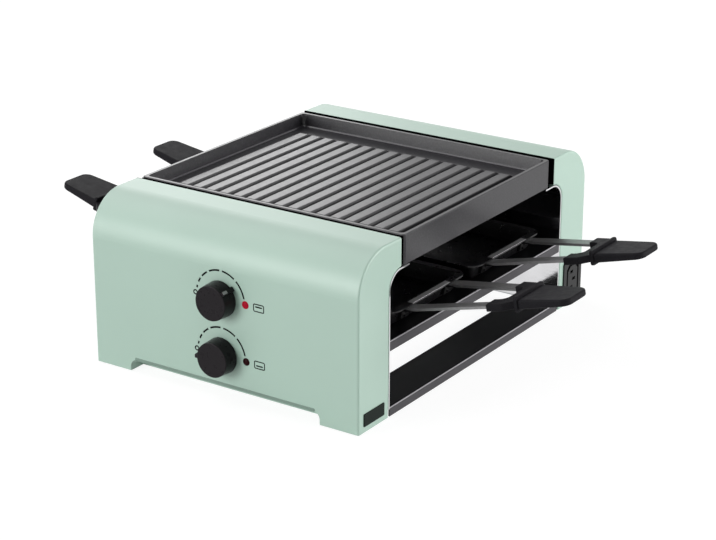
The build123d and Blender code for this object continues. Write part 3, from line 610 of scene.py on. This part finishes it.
def dashTree(finish):
    labels = ("Radius", "Start Angle", "Sweep Angle", "Line", "Ink")
    tree, given, out = geometryTree("dialDash", {label: "Float" for label in labels})
    arc = tree.nodes.new("GeometryNodeCurveArc")
    arc.mode = "RADIUS"
    arc.inputs["Resolution"].default_value = dial["arcSteps"]
    section = tree.nodes.new("GeometryNodeCurvePrimitiveQuadrilateral")
    upright = tree.nodes.new("GeometryNodeSetCurveNormal")
    upright.mode = "Z_UP"
    swept = tree.nodes.new("GeometryNodeCurveToMesh")
    swept.inputs["Fill Caps"].default_value = True
    wire(tree, *[(given.outputs[label], arc.inputs[label]) for label in labels[:3]])
    wire(
        tree,
        (given.outputs["Line"], section.inputs["Width"]),
        (given.outputs["Ink"], section.inputs["Height"]),
        (arc.outputs[0], upright.inputs["Curve"]),
        (upright.outputs[0], swept.inputs["Curve"]),
        (section.outputs[0], swept.inputs["Profile Curve"]),
    )
    closeTree(tree, swept.outputs[0], out, finish)
    return tree


def onFront(form, x, z):
    moved(form, Matrix.Translation((x, frontY, z)) @ Matrix.Rotation(math.radians(90), 4, "X"))


def printDial(name, tree, ink):
    form = bmesh.new()
    for first, last in dial["dashes"]:
        addMesh(form, grown(tree, {
            "Radius": dial["radius"],
            "Start Angle": math.radians(90 - last),
            "Sweep Angle": math.radians(last - first),
            "Line": dial["line"],
            "Ink": 2 * dial["ink"],
        }))
    onFront(form, 0, knobZ[name])
    finishPiece(name + "_dial_dashes", form, "base", ink)


def printRing(name, ink):
    form = bmesh.new()
    band(form, circleLoop(ring["outer"]), circleLoop(ring["inner"]), -dial["ink"], dial["ink"])
    onFront(form, ring["x"], knobZ[name] + ring["up"])
    finishPiece(name + "_dial_ring", form, "base", ink)


def printIcon(name, ink):
    line = icon["line"]
    outer = roundedLoop(icon["wide"], icon["tall"], icon["corner"])
    inner = roundedLoop(icon["wide"] - 2 * line, icon["tall"] - 2 * line, icon["corner"] - line)
    form = bmesh.new()
    band(form, outer, inner, -dial["ink"], dial["ink"])
    bar = bmesh.new()
    barLoop = roundedLoop(icon["bar"], icon["barLine"], icon["barCorner"])
    slab(bar, barLoop, -dial["ink"], dial["ink"], icon["barBevel"])
    moved(bar, Matrix.Translation((0, icon["barUp"][name], 0)))
    addMesh(form, asMesh("bar", bar))
    onFront(form, icon["x"], knobZ[name])
    finishPiece(name + "_heat_icon", form, "base", ink)


def printFront():
    ink = skinFinish("inkBlack", blackInk)
    tree = dashTree(ink)
    for name in controls:
        printDial(name, tree, ink)
        printRing(name, ink)
        printIcon(name, ink)


printFront()
print("dials and heat marks printed")


# Pale paint on the front end of each pointer rib; angles are clockwise from the top
pointer = {
    "angles": {"upper": 49, "lower": -90},
    "wide": 2.5 * mm, "long": 4.6 * mm, "corner": 0.5 * mm,
    "thick": 0.08 * mm, "bevel": 0.03 * mm,
    "front": 0.5 * mm, "crest": 16.32 * mm, "slant": 0.058,  # where the rib's crest runs
}
paleInk = {
    "colour": (0.33, 0.33, 0.33), "dark": (0.27, 0.27, 0.27), "light": (0.37, 0.37, 0.37),
    "roughness": 0.45, "skin": (0.35 * mm, 3), "deep": (0.01 * mm, 0.4),
}


def paintPointer(name, ink):
    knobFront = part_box(name + "_knob")[0].y
    form = bmesh.new()
    outline = roundedLoop(pointer["wide"], pointer["long"], pointer["corner"])
    slab(form, outline, -pointer["thick"], pointer["thick"], pointer["bevel"])
    # here y runs back from the knob's front, and z away from its axis
    shift = pointer["front"] + pointer["long"] / 2
    tilt = Matrix.Rotation(math.atan(pointer["slant"]), 4, "X")
    stand = Matrix.Translation((0, knobFront + shift, pointer["crest"] + pointer["slant"] * shift)) @ tilt
    turn = Matrix.Rotation(math.radians(pointer["angles"][name]), 4, "Y")
    moved(form, Matrix.Translation((0, 0, knobZ[name])) @ turn @ stand)
    finishPiece(name + "_pointer_mark", form, name + "_control", ink)


def paintPointers():
    ink = skinFinish("paleInk", paleInk)
    for name in controls:
        paintPointer(name, ink)


# Small blank plate low on the right end wall of the front housing
badge = {
    "y": (-159.0 * mm, -131.7 * mm), "z": (5.6 * mm, 16.0 * mm),
    "thick": 0.7 * mm, "corner": 0.8 * mm, "bevel": 0.2 * mm,
}
lacquer = {
    "colour": (0.008, 0.014, 0.011), "dark": (0.006, 0.011, 0.009), "light": (0.01, 0.017, 0.013),
    "roughness": 0.3, "shine": 0.06, "skin": (0.7 * mm, 3), "deep": (0.008 * mm, 0.4),
}


def blankPlate():
    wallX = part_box("front_housing")[1].x
    (lowY, highY), (lowZ, highZ) = badge["y"], badge["z"]
    form = bmesh.new()
    outline = roundedLoop(highY - lowY, highZ - lowZ, badge["corner"])
    slab(form, outline, -sunk, badge["thick"], badge["bevel"])
    rows = ((0, 0, 1, wallX), (1, 0, 0, (lowY + highY) / 2), (0, 1, 0, (lowZ + highZ) / 2), (0, 0, 0, 1))
    moved(form, Matrix(rows))
    finishPiece("blank_plate", form, "base", skinFinish("plateLacquer", lacquer))


paintPointers()
blankPlate()
print("pointer marks and blank plate set")


# Plate: the ribs run on to the front wall, and a fillet rounds the floor into the walls, its cast colour three
# times lighter as a painted highlight
plateMid = middle("grill_plate", 1)
plateGrit = {"skin": (1.6 * mm, 4), "deep": (0.01 * mm, 0.4)}
rib = {
    "count": 16, "pitch": 13.4 * mm, "under": 0.3 * mm,
    "foot": -91.5 * mm, "crest": -87.5 * mm, "end": -70.0 * mm,  # along Y from the plate's middle
    "half": [(x * mm, z * mm) for x, z in ((5.6, 0), (4.86, 2.05), (4.55, 2.62), (4.0, 2.92), (3.4, 3.02))],
}
well = {
    "floor": 129.0 * mm, "halfX": 119.96 * mm, "halfY": 105.96 * mm, "corner": 2.3 * mm,
    "fillet": [(x * mm, z * mm) for x, z in ((0.16, 0.9), (-0.54, 0.28), (-0.9, 0.03), (-0.4, -0.4), (0.5, -0.2))],
    # the fillet's cast colour is three times lighter, a painted highlight
    "paintedLightGain": 3, "roughness": 0.24,
}


# the gain scales the cast colour up as painted light, and 1 leaves it as it is
def castFinish(name, paintedLightGain, roughness):
    dark, light = ([part * paintedLightGain for part in cast[key]] for key in ("colour", "light"))
    values = {key: cast[key] for key in ("coat", "shine", "span")} | plateGrit
    return skinFinish(name, values | {"colour": light, "dark": dark, "light": light, "roughness": roughness})


def ribTree(finish):
    tree, given, out = geometryTree("ribRow", {"Count": "Int", "Pitch": "Float", "Start": "Float"})
    row = tree.nodes.new("GeometryNodeMeshLine")
    step, begin = (tree.nodes.new("ShaderNodeCombineXYZ") for i in range(2))
    placed = tree.nodes.new("GeometryNodeInstanceOnPoints")
    wire(
        tree,
        (given.outputs["Pitch"], step.inputs["X"]),
        (given.outputs["Start"], begin.inputs["X"]),
        (given.outputs["Count"], row.inputs["Count"]),
        (begin.outputs[0], row.inputs["Start Location"]),
        (step.outputs[0], row.inputs["Offset"]),
        (row.outputs[0], placed.inputs["Points"]),
        (given.outputs["Geometry"], placed.inputs["Instance"]),
    )
    closeTree(tree, placed.outputs[0], out, finish)
    return tree


def ribFront():
    # one rib's rise from the floor at the front, up to where the plate's own rib carries on
    profile = [(-x, z) for x, z in rib["half"]] + rib["half"][::-1]
    form = bmesh.new()
    rows = []
    for y, share in ((rib["foot"], 0), (rib["crest"], 1), (rib["end"], 1)):
        outline = [(x, z * share) for x, z in profile]
        outline += [(profile[-1][0], -rib["under"]), (profile[0][0], -rib["under"])]
        rows.append([form.verts.new((x, plateMid + y, well["floor"] + z)) for x, z in outline])
    walls(form, rows)
    form.faces.new(rows[0])
    form.faces.new(rows[-1][::-1])
    bmesh.ops.recalc_face_normals(form, faces=form.faces)
    return asMesh("ribFront", form)


def ribFronts():
    finish = castFinish("ribCast", 1, cast["roughness"])
    values = {"Count": rib["count"], "Pitch": rib["pitch"], "Start": -rib["pitch"] * (rib["count"] - 1) / 2}
    form = bmesh.new()
    addMesh(form, grown(ribTree(finish), values, ribFront()))
    finishPiece("rib_fronts", form, "grill_plate", finish)


def wellFillet():
    form = bmesh.new()
    rows = []
    for out, up in well["fillet"]:
        loop = roundedLoop(2 * (well["halfX"] + out), 2 * (well["halfY"] + out), well["corner"] + out)
        rows.append([form.verts.new((x, y + plateMid, well["floor"] + up)) for x, y in loop])
    walls(form, rows, closed=True)
    finish = castFinish("filletCastHighlight", well["paintedLightGain"], well["roughness"])
    finishPiece("well_fillet", form, "grill_plate", finish)


ribFronts()
wellFillet()
print("plate detail set")


# Painted shade along the lower edge of the outer faces by the hand holds: a flat strip of paint darkened for the
# shade where the rolled edge turns under
shaded = {
    "half": 86.5 * mm, "low": 10.5 * mm, "high": 13.0 * mm, "corner": 0.9 * mm,
    "thick": 0.35 * mm, "bevel": 0.12 * mm,
}
# the paint is darkened to this share as painted shade
edgeShade = 0.55
edgeShadePaint = {
    "colour": [part * edgeShade for part in paint["colour"]], "vary": 0.05, "skin": (6 * mm, 2),
    "roughness": paint["roughness"], "deep": (0.01 * mm, 0.4),
}

# Painted shade in the gaps beside the plate: black sheets on the housings and on the plate's own walls, standing
# in for the shade down the gaps
gapShade = {
    "half": 125.7 * mm, "low": 117.5 * mm, "high": 139.9 * mm, "corner": 0.5 * mm,
    "thick": 0.9 * mm, "bevel": 0.1 * mm,
}
plateShade = {
    "half": 124.3 * mm, "low": 117.3 * mm, "high": 139.0 * mm, "corner": 0.5 * mm,
    "thick": 0.4 * mm, "bevel": 0.1 * mm,
}
# black that stands in for the shade in the gaps, painted shade
gapShadeBlack = {
    "colour": (0.002, 0.002, 0.002), "dark": (0.0012, 0.0012, 0.0012), "light": (0.003, 0.003, 0.003),
    "roughness": 0.8, "shine": 0, "skin": (1.2 * mm, 3), "deep": (0.02 * mm, 0.4),
}

# Strip across each pan between its arms, its steel lighter than the arms' as a painted highlight
cross = {
    "wide": 4.7 * mm, "half": 27.0 * mm, "corner": 0.2 * mm, "thick": 0.35 * mm, "bevel": 0.1 * mm,
    # the strip steel is 1.9 times lighter than the arms', a painted highlight
    "inset": 0.1 * mm, "sunk": 0.1 * mm, "paintedLightGain": 1.9,
}


def wallStrip(name, faceY, facing, body, values, finish):
    form = bmesh.new()
    outline = roundedLoop(2 * values["half"], values["high"] - values["low"], values["corner"])
    slab(form, outline, -sunk, values["thick"], values["bevel"])
    # here x runs along the housing, y up, and z out of its face
    height = (values["low"] + values["high"]) / 2
    moved(form, Matrix(((facing, 0, 0, 0), (0, 0, facing, faceY), (0, 1, 0, height), (0, 0, 0, 1))))
    finishPiece(name, form, body, finish)


def crossStrip(corner, finish):
    low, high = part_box(corner + "_pan")
    side = 1 if "right" in corner else -1
    rim = high.x if side > 0 else low.x
    form = bmesh.new()
    outline = roundedLoop(cross["wide"], 2 * cross["half"], cross["corner"])
    slab(form, outline, -cross["sunk"], cross["thick"], cross["bevel"])
    x = rim - side * (cross["wide"] / 2 + cross["inset"])
    moved(form, Matrix.Translation((x, (low.y + high.y) / 2, high.z)))
    finishPiece(corner + "_cross_strip", form, corner + "_pan", finish)


def setStrips():
    front, rear, plate = (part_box(name) for name in ("front_housing", "rear_housing", "grill_plate"))
    shadeGreen = skinFinish("edgeShadePaint", edgeShadePaint)
    # painted shade strips along the lower edges of the outer faces
    wallStrip("front_edge_shade", front[0].y, -1, "base", shaded, shadeGreen)
    wallStrip("rear_edge_shade", rear[1].y, 1, "base", shaded, shadeGreen)
    # lighter copy of the arm steel, a painted highlight
    highlightSteel = drawnSteel("stripSteelHighlight", cross["paintedLightGain"])
    for corner in ("front_right", "rear_right", "front_left", "rear_left"):
        crossStrip(corner, highlightSteel)
    # painted shade: black sheets in the gaps beside the plate
    shadeBlack = skinFinish("gapShadeBlack", gapShadeBlack)
    wallStrip("front_gap_shade", front[1].y, 1, "base", gapShade, shadeBlack)
    wallStrip("rear_gap_shade", rear[0].y, -1, "base", gapShade, shadeBlack)
    wallStrip("plate_front_gap_shade", plate[0].y, -1, "grill_plate", plateShade, shadeBlack)
    wallStrip("plate_rear_gap_shade", plate[1].y, 1, "grill_plate", plateShade, shadeBlack)


setStrips()
print("rolled edges, pan strips and edging set")
